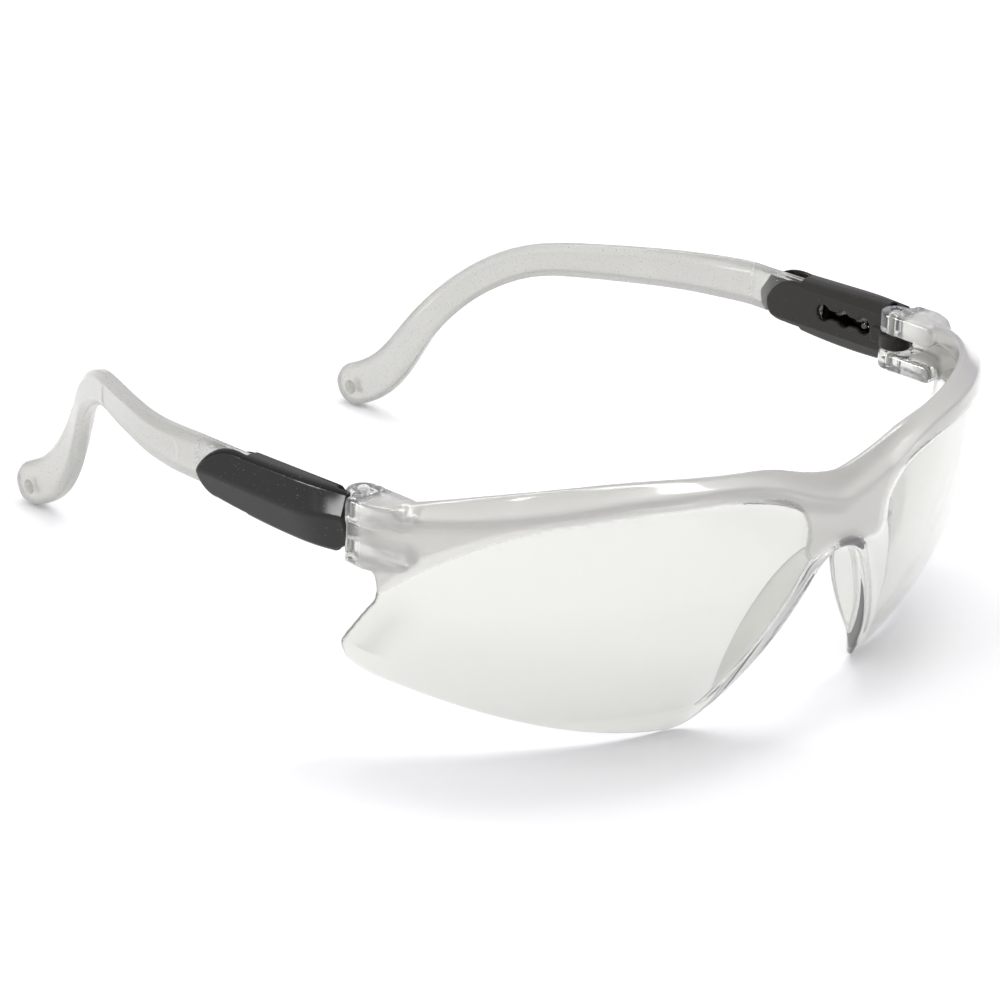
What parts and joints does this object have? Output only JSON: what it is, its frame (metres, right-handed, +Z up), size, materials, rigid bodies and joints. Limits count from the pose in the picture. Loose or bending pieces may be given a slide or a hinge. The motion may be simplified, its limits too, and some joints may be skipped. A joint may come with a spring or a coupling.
{
  "type": "safety glasses",
  "caption": "Clear wrap-around safety glasses: one-piece lens and brow, black hinge sleeves, and clear hooked arms that slide to adjust their length.",
  "frame": {"origin": "middle of the glasses seen from above, on the surface they stand on", "axes": "+X to the wearer's left, +Y from the lens back towards the ears, +Z up"},
  "size_m": [0.1428, 0.1662, 0.0503],
  "materials": {
    "clear_polycarbonate": "polished clear polycarbonate, with a finely frosted brow and bridge plate",
    "frosted_clear_plastic": "clear nylon with a fine satin texture",
    "black_plastic": "glossy black outside, satin inside",
    "pin_steel": "plain drawn steel"
  },
  "bodies": {
    "front": {"lens_shield": "clear_polycarbonate", "left_hinge_pin": "pin_steel", "right_hinge_pin": "pin_steel"},
    "left_temple": {"left_sleeve": "black_plastic"},
    "right_temple": {"right_sleeve": "black_plastic"},
    "left_extension": {"left_arm": "frosted_clear_plastic"},
    "right_extension": {"right_arm": "frosted_clear_plastic"}
  },
  "joints": [
    {"name": "left_fold", "type": "hinge", "parent": "front", "child": "left_temple", "pos_m": [0.0658, -0.0369, 0.04], "axis": [0, 0, 1], "range_deg": [0, 78]},
    {"name": "right_fold", "type": "hinge", "parent": "front", "child": "right_temple", "pos_m": [-0.0658, -0.0369, 0.04], "axis": [0, 0, -1], "range_deg": [0, 66]},
    {"name": "left_slide", "type": "slide", "parent": "left_temple", "child": "left_extension", "axis": [0, 1, 0], "range_m": [0, 0.0096]},
    {"name": "right_slide", "type": "slide", "parent": "right_temple", "child": "right_extension", "axis": [0, 1, 0], "range_m": [0, 0.0096]}
  ]
}
